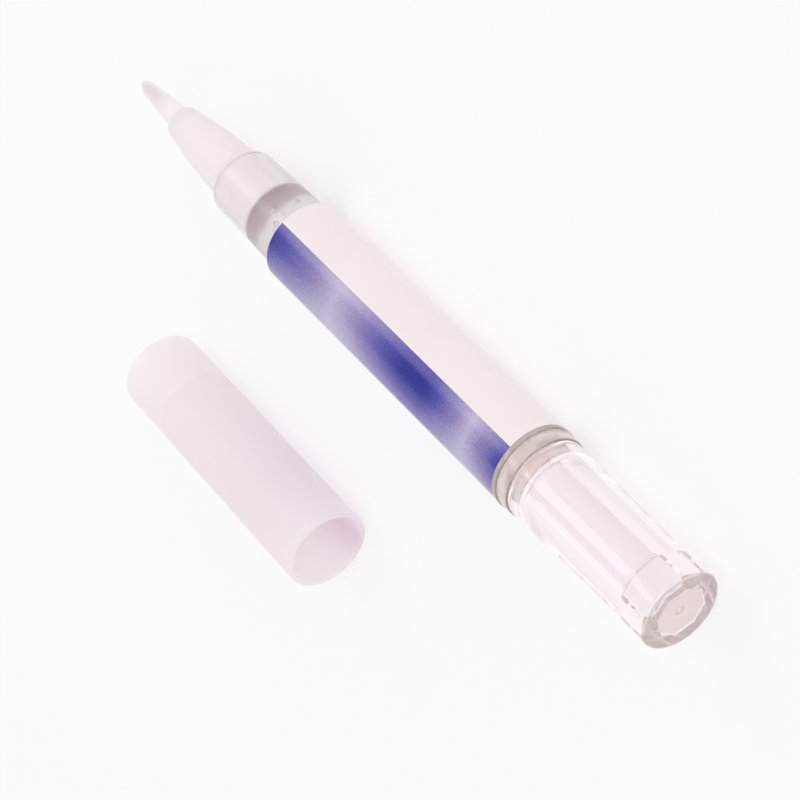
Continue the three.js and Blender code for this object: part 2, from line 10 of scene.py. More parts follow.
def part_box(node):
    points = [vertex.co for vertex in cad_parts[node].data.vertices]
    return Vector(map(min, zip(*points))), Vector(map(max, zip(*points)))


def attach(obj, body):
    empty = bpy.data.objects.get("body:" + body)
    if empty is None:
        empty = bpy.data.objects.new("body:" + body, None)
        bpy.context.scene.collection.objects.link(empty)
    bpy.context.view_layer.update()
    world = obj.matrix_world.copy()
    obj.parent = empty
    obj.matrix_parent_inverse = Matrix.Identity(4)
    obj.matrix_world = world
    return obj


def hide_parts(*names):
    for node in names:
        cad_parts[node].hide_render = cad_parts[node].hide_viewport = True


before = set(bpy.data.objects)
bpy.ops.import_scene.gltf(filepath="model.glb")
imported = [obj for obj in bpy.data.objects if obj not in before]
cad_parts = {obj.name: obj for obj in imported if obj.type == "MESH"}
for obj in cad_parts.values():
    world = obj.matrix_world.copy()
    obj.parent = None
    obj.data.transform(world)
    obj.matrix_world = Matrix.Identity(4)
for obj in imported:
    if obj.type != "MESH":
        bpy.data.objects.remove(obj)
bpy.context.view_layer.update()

scene = bpy.context.scene
MM = 0.001

# The camera stands above and behind the knob, and is rolled so that the pen runs from the
# picture's lower right to its upper left. Its place was fitted to the pen's outline.
IMAGE_SIDE = 800
FOCAL_LENGTH_IN_PIXELS = 2902.2
EYE = Vector((-192.85, -171.19, 187.90)) * MM
LOOK = Vector((0.60765, 0.52793, -0.59334)).normalized()
ROLLED_UP = Vector((0.56374, -0.81295, -0.14599))
NEAREST_SEEN = 1

camera = bpy.data.objects.new("camera", bpy.data.cameras.new("camera"))
scene.collection.objects.link(camera)
scene.camera = camera
scene.view_settings.view_transform = "Standard"
camera.data.lens = FOCAL_LENGTH_IN_PIXELS / IMAGE_SIDE * camera.data.sensor_width
camera.data.clip_start = NEAREST_SEEN * MM
image_right = LOOK.cross(ROLLED_UP).normalized()
image_up = image_right.cross(LOOK)
facing = Matrix((image_right, image_up, -LOOK)).transposed().to_4x4()
camera.matrix_world = Matrix.Translation(EYE) @ facing

# The table is a pale sweep of card in a white light tent. The tent lights everything evenly, a broad
# soft box beside the camera gives the shadow, and a strip light beyond the brush the long highlights.
TABLE_HALF_WIDTH = 1500
TABLE_WHITE = "#fdfcfd"
TENT_WHITE = "#ffffff"
TENT_GLOW = 0.86
TENT_SEEN = 1.0
TABLE_GLOW = 0.6
SOFT_BOX_POWER = 0.3
SOFT_BOX_SIDE = 500
SOFT_BOX_PLACE = Vector((-330, -330, 420)) * MM
STRIP_POWER = 0.36
STRIP_WIDTH = 150
STRIP_LENGTH = 520
STRIP_PLACE = Vector((395, -196, 478)) * MM
CLEAR_PLASTIC_BOUNCES = 32
NOT_SCATTERED = 0.5
HEX_PAIRS = (1, 3, 5)
HEX_BASE = 16
HEX_FULL = 255
SRGB_TOE = 0.04045
SRGB_TOE_SLOPE = 12.92
SRGB_OFFSET = 0.055
SRGB_POWER = 2.4
RAMP_ENDS = 2

# Light is followed through every wall of clear plastic and stays sharp there, so thick walls don't go dark.
scene.cycles.blur_glossy = 0
scene.cycles.max_bounces = CLEAR_PLASTIC_BOUNCES
scene.cycles.diffuse_bounces = CLEAR_PLASTIC_BOUNCES
scene.cycles.glossy_bounces = CLEAR_PLASTIC_BOUNCES
scene.cycles.transmission_bounces = CLEAR_PLASTIC_BOUNCES


def linear(colour):
    """An sRGB hex colour as linear red, green, blue and alpha."""
    channels = []
    for start in HEX_PAIRS:
        share = int(colour[start:start + 2], HEX_BASE) / HEX_FULL
        if share <= SRGB_TOE:
            channels.append(share / SRGB_TOE_SLOPE)
        else:
            channels.append(((share + SRGB_OFFSET) / (1 + SRGB_OFFSET)) ** SRGB_POWER)
    return channels + [1]


def node(tree, kind, inputs=None, stops=(), **settings):
    """Adds a node. An input takes a plain value or a socket to link from. A ramp takes its stops,
    each a place from 0 to 1 with a hex colour or a grey share."""
    made = tree.nodes.new(kind)
    for name, value in settings.items():
        setattr(made, name, value)
    for name, value in (inputs or {}).items():
        if isinstance(value, bpy.types.NodeSocket):
            tree.links.new(value, made.inputs[name])
        else:
            made.inputs[name].default_value = value
    for position, _ in stops[RAMP_ENDS:]:
        made.color_ramp.elements.new(position)
    for index, (position, shade) in enumerate(stops):
        stop = made.color_ramp.elements[index]
        stop.position = position
        stop.color = linear(shade) if isinstance(shade, str) else (shade, shade, shade, 1)
    return made


def blank_material(name):
    """An empty material with that name, and its node tree."""
    material = bpy.data.materials.new(name)
    material.use_nodes = True
    material.node_tree.nodes.clear()
    return material, material.node_tree


def seen(tree):
    """One where the eye looks, straight or through clear plastic, and nought where only light goes."""
    ray = node(tree, "ShaderNodeLightPath").outputs
    clear = node(tree, "ShaderNodeMath", {0: ray["Is Glossy Ray"], 1: ray["Is Transmission Ray"]},
                 operation="MAXIMUM").outputs[0]
    looks = node(tree, "ShaderNodeMath", {0: ray["Is Camera Ray"], 1: clear},
                 operation="MAXIMUM").outputs[0]
    straight = node(tree, "ShaderNodeMath", {0: ray["Diffuse Depth"], 1: NOT_SCATTERED},
                    operation="LESS_THAN").outputs[0]
    return node(tree, "ShaderNodeMath", {0: looks, 1: straight}, operation="MULTIPLY").outputs[0]


def lamp(name, power, place, width, length):
    """A soft lamp with a flat face, turned towards the middle of the table."""
    light = bpy.data.lights.new(name, "AREA")
    light.shape = "RECTANGLE"
    light.energy = power
    light.size = width * MM
    light.size_y = length * MM
    stand = bpy.data.objects.new(name, light)
    scene.collection.objects.link(stand)
    stand.rotation_mode = "QUATERNION"
    stand.rotation_quaternion = place.to_track_quat("Z", "Y")
    stand.location = place


tent = bpy.data.worlds.new("white_tent")
scene.world = tent
tent.use_nodes = True
tree = tent.node_tree
tree.nodes.clear()
glow = node(tree, "ShaderNodeMapRange", {"Value": seen(tree), "To Min": TENT_GLOW, "To Max": TENT_SEEN})
sky = node(tree, "ShaderNodeBackground", {"Color": linear(TENT_WHITE), "Strength": glow.outputs["Result"]})
node(tree, "ShaderNodeOutputWorld", {"Surface": sky.outputs["Background"]})

lamp("soft_box", SOFT_BOX_POWER, SOFT_BOX_PLACE, SOFT_BOX_SIDE, SOFT_BOX_SIDE)
lamp("strip_light", STRIP_POWER, STRIP_PLACE, STRIP_WIDTH, STRIP_LENGTH)

table_mesh = bmesh.new()
bmesh.ops.create_grid(table_mesh, x_segments=1, y_segments=1, size=TABLE_HALF_WIDTH * MM)
table_data = bpy.data.meshes.new("table")
table_mesh.to_mesh(table_data)
table_mesh.free()

# White card: matt, so it takes the soft shadow, and lit through from below where the eye looks at it.
card, tree = blank_material("white_card")
matt_card = node(tree, "ShaderNodeBsdfDiffuse", {"Color": linear(TABLE_WHITE)})
lit_card = node(tree, "ShaderNodeEmission", {"Color": linear(TENT_WHITE), "Strength": TENT_SEEN})
glow = node(tree, "ShaderNodeMapRange", {"Value": seen(tree), "To Max": TABLE_GLOW})
surface = node(tree, "ShaderNodeMixShader", {
    0: glow.outputs["Result"],
    1: matt_card.outputs["BSDF"],
    2: lit_card.outputs["Emission"],
})
node(tree, "ShaderNodeOutputMaterial", {"Surface": surface.outputs["Shader"]})
table_data.materials.append(card)
table = bpy.data.objects.new("table", table_data)
scene.collection.objects.link(table)

# The knob's clear shell is a thick tube of injection-moulded polystyrene, a little wider at its
# end, with an eight-sided socket there that holds the core and a seat at its front for the collar.
TURN_STEPS = 256
ROUND_STEPS = 5
EDGE_ANGLE = math.radians(28)
WELD = 0.00002 * MM
NEAR = 0.01
ALONG = Vector((1, 0, 0))
HEAD_SIDES = 8
HEAD_TURN = math.radians(-8.7)
SIDE_SWEEP = math.tau / HEAD_SIDES
OUTWARDS = Matrix.Rotation(HEAD_TURN, 3, "X") @ Vector((0, 0, 1))
knob_low, knob_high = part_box("knob_shell")
collar_low, collar_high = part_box("tail_collar")
axis_point = (collar_low + collar_high) / 2
PEN_END = Vector((knob_low.x, axis_point.y, axis_point.z))


def station(x):
    """How far a place lies from the knob's flat end, in millimetres."""
    return (x - PEN_END.x) / MM


def turned(corners, end=PEN_END, closed=True):
    """Spins an outline about an axis along X. A corner is its station, its radius and any rounding."""
    mesh = bmesh.new()
    outline = [mesh.verts.new(end + (ALONG * x + OUTWARDS * radius) * MM) for x, radius, *_ in corners]
    joined = outline + outline[:1] if closed else outline
    for near, far in zip(joined, joined[1:]):
        mesh.edges.new((near, far))
    for vertex, corner in zip(outline, corners):
        for size in corner[2:]:
            bmesh.ops.bevel(mesh, geom=[vertex], offset=size * MM, affect="VERTICES",
                            segments=ROUND_STEPS, profile=0.5, material=-1)
    bmesh.ops.spin(mesh, geom=mesh.verts[:] + mesh.edges[:], cent=end, axis=ALONG,
                   angle=math.tau, steps=TURN_STEPS, use_merge=True)
    bmesh.ops.remove_doubles(mesh, verts=mesh.verts[:], dist=WELD)
    bmesh.ops.recalc_face_normals(mesh, faces=mesh.faces[:])
    return mesh


def at_radius(mesh, radius):
    """The points of a turned mesh that lie at that radius, each with its place across the pen."""
    places = [(vertex, (vertex.co - PEN_END).yz) for vertex in mesh.verts]
    return [(vertex, across) for vertex, across in places if abs(across.length / MM - radius) < NEAR]


def eight_sided(mesh, radius):
    """Draws the rings at that radius in to eight flat sides, so that only their corners stay there."""
    for vertex, across in at_radius(mesh, radius):
        from_middle = (math.atan2(across.y, across.x) - HEAD_TURN) % SIDE_SWEEP - SIDE_SWEEP / 2
        vertex.co.yz = PEN_END.yz + across * math.cos(SIDE_SWEEP / 2) / math.cos(from_middle)


def shown(mesh, name, material, body, slot, *stood_for):
    """Makes the object of a finished mesh, smooth but for its edges, on the body that carries it."""
    data = bpy.data.meshes.new(name)
    mesh.to_mesh(data)
    mesh.free()
    data.shade_smooth()
    data.set_sharp_from_angle(angle=EDGE_ANGLE)
    data.materials.append(material)
    piece = bpy.data.objects.new(name, data)
    scene.collection.objects.link(piece)
    piece.modifiers.new("even_shine", "WEIGHTED_NORMAL").keep_sharp = True
    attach(piece, body)
    if stood_for:
        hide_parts(*stood_for)


FINE_EDGE = 0.05
SOFT_EDGE = 0.1
BROAD_EDGE = 0.2
PRESS_GAP = 0.05
HEAD_R = 2.94
HEAD_RECESS = 0.2
HEAD_FRONT = 4.4
SOCKET_R = HEAD_R + PRESS_GAP
SOCKET_FLOOR = HEAD_FRONT + PRESS_GAP
SHANK_R = 2.2
SHANK_BORE_R = SHANK_R + PRESS_GAP
KNOB_END_R = 4.63
KNOB_END_ROUND = 0.45
KNOB_END_LENGTH = 4.0
KNOB_END_DRAFT = 0.07
KNOB_WAIST_R = 4.48
KNOB_WAIST = 4.3
KNOB_FRONT_R = 4.77
KNOB_FRONT = station(knob_high.x)
KNOB_SEAT_R = 3.6
KNOB_SEAT_PLAY = 0.12
BEARING_REAR = station(collar_low.x)
KNOB_SEAT_REAR = BEARING_REAR - KNOB_SEAT_PLAY

knob = turned([
    (0, SOCKET_R),
    (0, KNOB_END_R, KNOB_END_ROUND),
    (KNOB_END_LENGTH, KNOB_END_R - KNOB_END_DRAFT, SOFT_EDGE),
    (KNOB_WAIST, KNOB_WAIST_R, SOFT_EDGE),
    (KNOB_FRONT, KNOB_FRONT_R, SOFT_EDGE),
    (KNOB_FRONT, KNOB_SEAT_R, FINE_EDGE),
    (KNOB_SEAT_REAR, KNOB_SEAT_R, FINE_EDGE),
    (KNOB_SEAT_REAR, SHANK_BORE_R, FINE_EDGE),
    (SOCKET_FLOOR, SHANK_BORE_R),
    (SOCKET_FLOOR, SOCKET_R),
])
eight_sided(knob, SOCKET_R)

# Clear polystyrene, polished in the mould: bright and hard, with a breath of lilac, a warm tint that
# only shows through its full length, and slow flow waves in its shine. Wear makes its flat end milky.
FLOW_WAVE = 7
FINE_DETAIL = 2
STYRENE_IOR = 1.57
STYRENE_BODY = "#fdf8fc"
STYRENE_TINT = "#e8b080"
STYRENE_DENSITY = 7
STYRENE_HAZE = (0.0, 0.03)
FULLY_CLEAR = 1.0
WORN_DEPTH = 0.5
WORN_HAZE = 0.12
WORN_CLEAR = 0.76


def clear_plastic(name, ior, body, clear, tint, density, haze_range):
    """A see-through plastic, tinted in its depth, with haze that comes and goes along the flow."""
    material, tree = blank_material(name)
    place = node(tree, "ShaderNodeTexCoord").outputs["Object"]
    flow = node(tree, "ShaderNodeTexNoise", {
        "Vector": place,
        "Scale": 1 / (FLOW_WAVE * MM),
        "Detail": FINE_DETAIL,
    })
    least_haze, most_haze = haze_range
    haze = node(tree, "ShaderNodeMapRange", {
        "Value": flow.outputs["Fac"],
        "To Min": least_haze,
        "To Max": most_haze,
    }).outputs["Result"]
    surface = node(tree, "ShaderNodeBsdfPrincipled", {
        "Base Color": linear(body),
        "Roughness": haze,
        "IOR": ior,
        "Transmission Weight": clear,
    })
    depth = node(tree, "ShaderNodeVolumeAbsorption", {"Color": linear(tint), "Density": density})
    node(tree, "ShaderNodeOutputMaterial", {
        "Surface": surface.outputs["BSDF"],
        "Volume": depth.outputs["Volume"],
    })
    return material, surface, haze


def counted_from(tree, point):
    """Places on a piece, counted from that point."""
    place = node(tree, "ShaderNodeTexCoord").outputs["Object"]
    return node(tree, "ShaderNodeMapping", {"Vector": place, "Location": -point}).outputs["Vector"]


polystyrene, surface, haze = clear_plastic("clear_polystyrene", STYRENE_IOR, STYRENE_BODY, FULLY_CLEAR,
                                           STYRENE_TINT, STYRENE_DENSITY, STYRENE_HAZE)
tree = polystyrene.node_tree
along = node(tree, "ShaderNodeSeparateXYZ", {"Vector": counted_from(tree, PEN_END)}).outputs["X"]
worn = node(tree, "ShaderNodeMapRange", {
    "Value": along,
    "From Max": WORN_DEPTH * MM,
    "To Min": WORN_HAZE,
    "To Max": 0,
}).outputs["Result"]
rough = node(tree, "ShaderNodeMath", {0: haze, 1: worn}, operation="MAXIMUM").outputs[0]
clear = node(tree, "ShaderNodeMapRange", {
    "Value": along,
    "From Max": WORN_DEPTH * MM,
    "To Min": WORN_CLEAR,
    "To Max": FULLY_CLEAR,
}).outputs["Result"]
tree.links.new(rough, surface.inputs["Roughness"])
tree.links.new(clear, surface.inputs["Transmission Weight"])

shown(knob, "clear_knob", polystyrene, "knob", "knob_clear", "knob_shell")

# The core is one milky polypropylene moulding: an eight-sided head with the gate's dimple in its end,
# and a round shank that runs through the collar, with a long blind hole that turns the feed screw.
_, core_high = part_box("knob_core")
SHANK_FRONT = 24.25
STUB_R = 1.95
STUB_FRONT = station(core_high.x)
GATE_R = 0.65
GATE_DEPTH = 0.25
GATE_FLOOR = HEAD_RECESS + GATE_DEPTH
GATE_NUB_R = 0.22
GATE_NUB = 0.15
PRESSED_HOME = 0.01
HOLE_R = 1.6
HOLE_FLAT = 1.03
HOLE_REAR = 1.75

core = turned([
    (GATE_FLOOR - GATE_NUB, 0),
    (GATE_FLOOR - GATE_NUB, GATE_NUB_R, FINE_EDGE),
    (GATE_FLOOR, GATE_NUB_R + FINE_EDGE),
    (GATE_FLOOR, GATE_R - FINE_EDGE),
    (HEAD_RECESS, GATE_R, FINE_EDGE),
    (HEAD_RECESS, HEAD_R),
    (SOCKET_FLOOR + PRESSED_HOME, HEAD_R),
    (SOCKET_FLOOR + PRESSED_HOME, SHANK_R),
    (SHANK_FRONT, SHANK_R, SOFT_EDGE),
    (SHANK_FRONT, STUB_R),
    (STUB_FRONT, STUB_R, SOFT_EDGE),
    (STUB_FRONT, HOLE_R),
    (HOLE_REAR, HOLE_R),
    (HOLE_REAR, 0),
], closed=False)
eight_sided(core, HEAD_R)
for vertex, across in at_radius(core, HOLE_R):
    vertex.co.y = PEN_END.y + max(-HOLE_FLAT * MM, min(HOLE_FLAT * MM, across.x))

# Natural polypropylene: milky and waxy, so light sinks in and comes back softly, under a slight gloss.
# The head's end face, sunk in the knob's socket, carries painted shade: it is coloured a deeper shade than
# the rest.
POLYPROPYLENE_IOR = 1.49
CLOUD_DETAIL = 3
EVEN_GLOW = (1.0, 1.0, 1.0)
CORE_MILK = "#fbf5f3"
CORE_PALE_MILK = "#fefbf9"
CORE_CLOUD = 1.5
CORE_GLOSS = (0.34, 0.44)
CORE_SINK_SHARE = 0.8
CORE_SINK = 0.25
CORE_GRAIN = 0.25
CORE_GRAIN_HEIGHT = 0.01
CORE_GRAIN_SHARE = 0.1
# Painted shade: the deeper colour of the head's end face, for the shade where it sits sunk in the socket.
END_PAINTED_SHADE_MILK = "#f1e3e1"
END_PAINTED_SHADE_FADE = 0.1

milky, tree = blank_material("natural_polypropylene")
place = node(tree, "ShaderNodeTexCoord").outputs["Object"]
cloud = node(tree, "ShaderNodeTexNoise", {
    "Vector": place,
    "Scale": 1 / (CORE_CLOUD * MM),
    "Detail": CLOUD_DETAIL,
}).outputs["Fac"]
moulded_milk = node(tree, "ShaderNodeMixRGB", {
    "Fac": cloud,
    "Color1": linear(CORE_MILK),
    "Color2": linear(CORE_PALE_MILK),
})
along = node(tree, "ShaderNodeSeparateXYZ", {"Vector": counted_from(tree, PEN_END)}).outputs["X"]
# Painted shade: the head's end, up to the gate's floor, takes the deeper colour.
past_painted_shade = node(tree, "ShaderNodeMapRange", {
    "Value": along,
    "From Min": GATE_FLOOR * MM,
    "From Max": (GATE_FLOOR + END_PAINTED_SHADE_FADE) * MM,
})
milk = node(tree, "ShaderNodeMixRGB", {
    "Fac": past_painted_shade.outputs["Result"],
    "Color1": linear(END_PAINTED_SHADE_MILK),
    "Color2": moulded_milk.outputs["Color"],
})
gloss = node(tree, "ShaderNodeMapRange", {"Value": cloud, "To Min": CORE_GLOSS[0], "To Max": CORE_GLOSS[1]})
skin = node(tree, "ShaderNodeTexNoise", {
    "Vector": place,
    "Scale": 1 / (CORE_GRAIN * MM),
    "Detail": FINE_DETAIL,
})
grain = node(tree, "ShaderNodeBump", {
    "Height": skin.outputs["Fac"],
    "Strength": CORE_GRAIN_SHARE,
    "Distance": CORE_GRAIN_HEIGHT * MM,
})
surface = node(tree, "ShaderNodeBsdfPrincipled", {
    "Base Color": milk.outputs["Color"],
    "Roughness": gloss.outputs["Result"],
    "IOR": POLYPROPYLENE_IOR,
    "Subsurface Weight": CORE_SINK_SHARE,
    "Subsurface Radius": EVEN_GLOW,
    "Subsurface Scale": CORE_SINK * MM,
    "Normal": grain.outputs["Normal"],
})
node(tree, "ShaderNodeOutputMaterial", {"Surface": surface.outputs["BSDF"]})

shown(core, "knob_core_milky", milky, "knob", "knob_core", "knob_core")

# The tail collar is the smoky ring that shows between knob and label, with a raised rim at its front.
# Its rear spigot carries the knob, its front spigot is pressed into the barrel, and a groove runs
# round its rear face.
COLLAR_REAR = 22.0
COLLAR_FRONT = 24.27
COLLAR_R = (collar_high.y - collar_low.y) / 2 / MM
COLLAR_REAR_EDGE = 0.12
COLLAR_FRONT_EDGE = 0.06
BEARING_R = 3.5
SPIGOT_FRONT = station(collar_high.x)
SPIGOT_R = 4.15
SPIGOT_BORE_R = 3.6
COLLAR_BORE_R = 2.3
GROOVE_R = 4.62
GROOVE_WIDTH = 0.12
GROOVE_DEPTH = 0.12
RIM_WIDTH = 0.65
RIM_STEP = 0.14
RIM_REAR = COLLAR_FRONT - RIM_WIDTH

collar = turned([
    (BEARING_REAR, COLLAR_BORE_R, FINE_EDGE),
    (BEARING_REAR, BEARING_R, SOFT_EDGE),
    (COLLAR_REAR, BEARING_R),
    (COLLAR_REAR, GROOVE_R - GROOVE_WIDTH),
    (COLLAR_REAR + GROOVE_DEPTH, GROOVE_R - GROOVE_WIDTH),
    (COLLAR_REAR + GROOVE_DEPTH, GROOVE_R),
    (COLLAR_REAR, GROOVE_R),
    (COLLAR_REAR, COLLAR_R - RIM_STEP, COLLAR_REAR_EDGE),
    (RIM_REAR, COLLAR_R - RIM_STEP),
    (RIM_REAR, COLLAR_R, FINE_EDGE),
    (COLLAR_FRONT, COLLAR_R, COLLAR_FRONT_EDGE),
    (COLLAR_FRONT, SPIGOT_R),
    (SPIGOT_FRONT, SPIGOT_R, SOFT_EDGE),
    (SPIGOT_FRONT, SPIGOT_BORE_R),
    (COLLAR_FRONT, SPIGOT_BORE_R),
    (COLLAR_FRONT, COLLAR_BORE_R),
])

# Smoky polystyrene: a darker batch of the knob's plastic, a little milky, and brown-grey where it is thick.
SMOKE_BODY = "#fff8f5"
SMOKE_CLEAR = 0.74
SMOKE_TINT = "#cfae9e"
SMOKE_DENSITY = 28
SMOKE_HAZE = (0.03, 0.08)
smoky, _, _ = clear_plastic("smoky_polystyrene", STYRENE_IOR, SMOKE_BODY, SMOKE_CLEAR,
                            SMOKE_TINT, SMOKE_DENSITY, SMOKE_HAZE)
shown(collar, "clear_collar", smoky, "barrel", "collar_clear", "tail_collar")

# The barrel is a clear blow-moulded tube: the gel chamber, a shoulder inside its front, and a
# slightly tapered neck that holds the nozzle and takes the cap.
barrel_low, barrel_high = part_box("barrel")
label_low, label_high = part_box("label")
LABEL_MARGIN = 0.05
BARREL_REAR = station(barrel_low.x)
BARREL_R = 4.88
BARREL_BORE_R = 4.2
BODY_FRONT = station(label_high.x) + LABEL_MARGIN
SHOULDER_WALL = 0.7
SHOULDER_LENGTH = 2.4
SHOULDER_FRONT = BODY_FRONT - SHOULDER_WALL
SHOULDER_REAR = SHOULDER_FRONT - SHOULDER_LENGTH
SHOULDER_ROUND = 0.4
NECK_REAR_R = 4.36
NECK_FRONT_R = 4.05
NECK_BORE_R = 3.5
NECK_FRONT = station(barrel_high.x)
NECK_ROOT_ROUND = 0.15
NECK_LIP_ROUND = 0.35

barrel = turned([
    (BARREL_REAR, BARREL_BORE_R, SOFT_EDGE),
    (BARREL_REAR, BARREL_R, SOFT_EDGE),
    (BODY_FRONT, BARREL_R, BROAD_EDGE),
    (BODY_FRONT, NECK_REAR_R, NECK_ROOT_ROUND),
    (NECK_FRONT, NECK_FRONT_R, NECK_LIP_ROUND),
    (NECK_FRONT, NECK_BORE_R, SOFT_EDGE),
    (SHOULDER_FRONT, NECK_BORE_R, SHOULDER_ROUND),
    (SHOULDER_REAR, BARREL_BORE_R, SHOULDER_ROUND),
])

# Clarified polypropylene: clear, but softer and hazier than styrene, so that it blurs what lies behind it.
CLARIFIED_BODY = "#fffdfd"
CLARIFIED_CLEAR = 0.92
CLARIFIED_TINT = "#c8b8b4"
CLARIFIED_DENSITY = 12
CLARIFIED_HAZE = (0.22, 0.28)
clarified, _, _ = clear_plastic("clarified_polypropylene", POLYPROPYLENE_IOR, CLARIFIED_BODY,
                                CLARIFIED_CLEAR, CLARIFIED_TINT, CLARIFIED_DENSITY, CLARIFIED_HAZE)
shown(barrel, "clear_barrel", clarified, "barrel", "barrel_clear", "barrel")

# The label is a printed film wrapped once round the barrel and glued to it: one half is plain white,
# the other is sprayed in soft patches from lilac to deep blue.
LABEL_REAR = station(label_low.x)
LABEL_FRONT = station(label_high.x)
LABEL_R = (label_high.y - label_low.y) / 2 / MM
GLUED_IN = 0.01
LABEL_INNER_R = BARREL_R - GLUED_IN
FILM_EDGE = 0.03

label = turned([
    (LABEL_REAR, LABEL_INNER_R),
    (LABEL_REAR, LABEL_R, FILM_EDGE),
    (LABEL_FRONT, LABEL_R, FILM_EDGE),
    (LABEL_FRONT, LABEL_INNER_R),
])

# Printed polypropylene film: satin white stock with a sprayed screen of ink dots, and slight waves
# where the film lies on the barrel. The dots are drawn coarser than real ones, so that they show.
BAND_EDGE = math.radians(128)
BAND_SWEEP = math.pi
INK_DOT = 0.16
DOT_DETAIL = 1
SPECK = 0.16
FILM_WAVE = 6
FILM_IOR = 1.46
FILM_WHITE = "#f4e9e9"
FILM_PALE_WHITE = "#f9eeee"
FILM_SATIN = (0.14, 0.24)
RIPPLE_SHARE = 0.4
RIPPLE_HEIGHT = 0.04
SPRAY_ALONG = ((0.0, 0.8), (0.04, 0.55), (0.13, 0.1), (0.24, 0.62), (0.31, 1.0), (0.4, 0.97),
               (0.51, 0.62), (0.61, 0.3), (0.71, 0.08), (0.84, 0.45), (0.94, 0.7), (1.0, 0.9))
SPRAY_ROUND = ((0.0, 0.6), (0.08, 0.96), (0.16, 1.0), (0.22, 0.76), (0.34, 0.54), (1.0, 0.4))
INK_COLOURS = ((0.0, "#c9bedb"), (0.33, "#8e80b8"), (0.65, "#514ba6"), (0.95, "#06178a"))

film, tree = blank_material("printed_film")
place = node(tree, "ShaderNodeTexCoord").outputs["Object"]
across = node(tree, "ShaderNodeSeparateXYZ", {"Vector": counted_from(tree, PEN_END)}).outputs
angle = node(tree, "ShaderNodeMath", {0: across["Z"], 1: across["Y"]}, operation="ARCTAN2").outputs[0]
past_edge = node(tree, "ShaderNodeMath", {0: BAND_EDGE, 1: angle}, operation="SUBTRACT").outputs[0]
round_band = node(tree, "ShaderNodeMath", {0: past_edge, 1: math.tau, 2: 0.0}, operation="WRAP").outputs[0]
in_band = node(tree, "ShaderNodeMath", {0: round_band, 1: BAND_SWEEP}, operation="LESS_THAN").outputs[0]
dots = node(tree, "ShaderNodeTexNoise", {
    "Vector": place,
    "Scale": 1 / (INK_DOT * MM),
    "Detail": DOT_DETAIL,
})
cloud = node(tree, "ShaderNodeTexNoise", {
    "Vector": place,
    "Scale": 1 / (FILM_WAVE * MM),
    "Detail": FINE_DETAIL,
}).outputs["Fac"]
along = node(tree, "ShaderNodeMapRange", {
    "Value": across["X"],
    "From Min": LABEL_REAR * MM,
    "From Max": LABEL_FRONT * MM,
}).outputs["Result"]
spray = node(tree, "ShaderNodeValToRGB", {"Fac": along}, SPRAY_ALONG).outputs["Color"]
round_share = node(tree, "ShaderNodeMath", {0: round_band, 1: BAND_SWEEP}, operation="DIVIDE").outputs[0]
fade = node(tree, "ShaderNodeValToRGB", {"Fac": round_share}, SPRAY_ROUND).outputs["Color"]
even_ink = node(tree, "ShaderNodeMath", {0: spray, 1: fade}, operation="MULTIPLY").outputs[0]
speck = node(tree, "ShaderNodeMapRange", {
    "Value": dots.outputs["Fac"],
    "To Min": -SPECK,
    "To Max": SPECK,
}).outputs["Result"]
ink = node(tree, "ShaderNodeMath", {0: even_ink, 1: speck}, operation="ADD").outputs[0]
band = node(tree, "ShaderNodeValToRGB", {"Fac": ink}, INK_COLOURS).outputs["Color"]
white = node(tree, "ShaderNodeMixRGB", {
    "Fac": cloud,
    "Color1": linear(FILM_WHITE),
    "Color2": linear(FILM_PALE_WHITE),
})
print_colour = node(tree, "ShaderNodeMixRGB", {
    "Fac": in_band,
    "Color1": white.outputs["Color"],
    "Color2": band,
})
satin = node(tree, "ShaderNodeMapRange", {"Value": cloud, "To Min": FILM_SATIN[0], "To Max": FILM_SATIN[1]})
ripple = node(tree, "ShaderNodeBump", {
    "Height": cloud,
    "Strength": RIPPLE_SHARE,
    "Distance": RIPPLE_HEIGHT * MM,
})
surface = node(tree, "ShaderNodeBsdfPrincipled", {
    "Base Color": print_colour.outputs["Color"],
    "Roughness": satin.outputs["Result"],
    "IOR": FILM_IOR,
    "Normal": ripple.outputs["Normal"],
})
node(tree, "ShaderNodeOutputMaterial", {"Surface": surface.outputs["BSDF"]})

shown(label, "printed_label", film, "barrel", "label_film", "label")

# The nozzle is one moulding of frosted polypropylene: a hollow plug that is pressed into the neck, and
# a rounded cone in front of it that narrows to the seat of the brush.
nozzle_low, nozzle_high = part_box("nozzle")
PLUG_REAR = station(nozzle_low.x)
PLUG_R = 3.45
PLUG_BORE_R = 2.95
PLUG_LEAD_ROUND = 0.3
NOZZLE_FRONT = station(nozzle_high.x)
NOZZLE_BASE_R = 3.36
NOZZLE_MIDDLE_SHARE = 0.46
NOZZLE_MIDDLE_R = 2.97
NOZZLE_SHOULDER_LENGTH = 2.7
NOZZLE_SHOULDER = NOZZLE_FRONT - NOZZLE_SHOULDER_LENGTH
NOZZLE_SHOULDER_R = 2.42
NOZZLE_FRONT_R = 1.98
NOZZLE_LENGTH = NOZZLE_FRONT - NECK_FRONT
SEAT_R = 1.83
SEAT_REAR = 87.6
CHANNEL_R = 0.5
FUNNEL_REAR = 78.95
FUNNEL_FRONT = 81.35
FUNNEL_ROUND = 0.3
CONE_STEPS = 6


def smooth_line(points, steps):
    """Points on a smooth cubic line through those given, which turns at each towards its neighbours."""
    ends = [points[0] * 2 - points[1]] + points + [points[-1] * 2 - points[-2]]
    line = []
    for before, start, stop, after in zip(ends, ends[1:], ends[2:], ends[3:]):
        for step in range(steps):
            t = step / steps
            line.append(0.5 * (2 * start + (stop - before) * t
                               + (2 * before - 5 * start + 4 * stop - after) * t ** 2
                               + (3 * start - before - 3 * stop + after) * t ** 3))
    return line + [points[-1]]


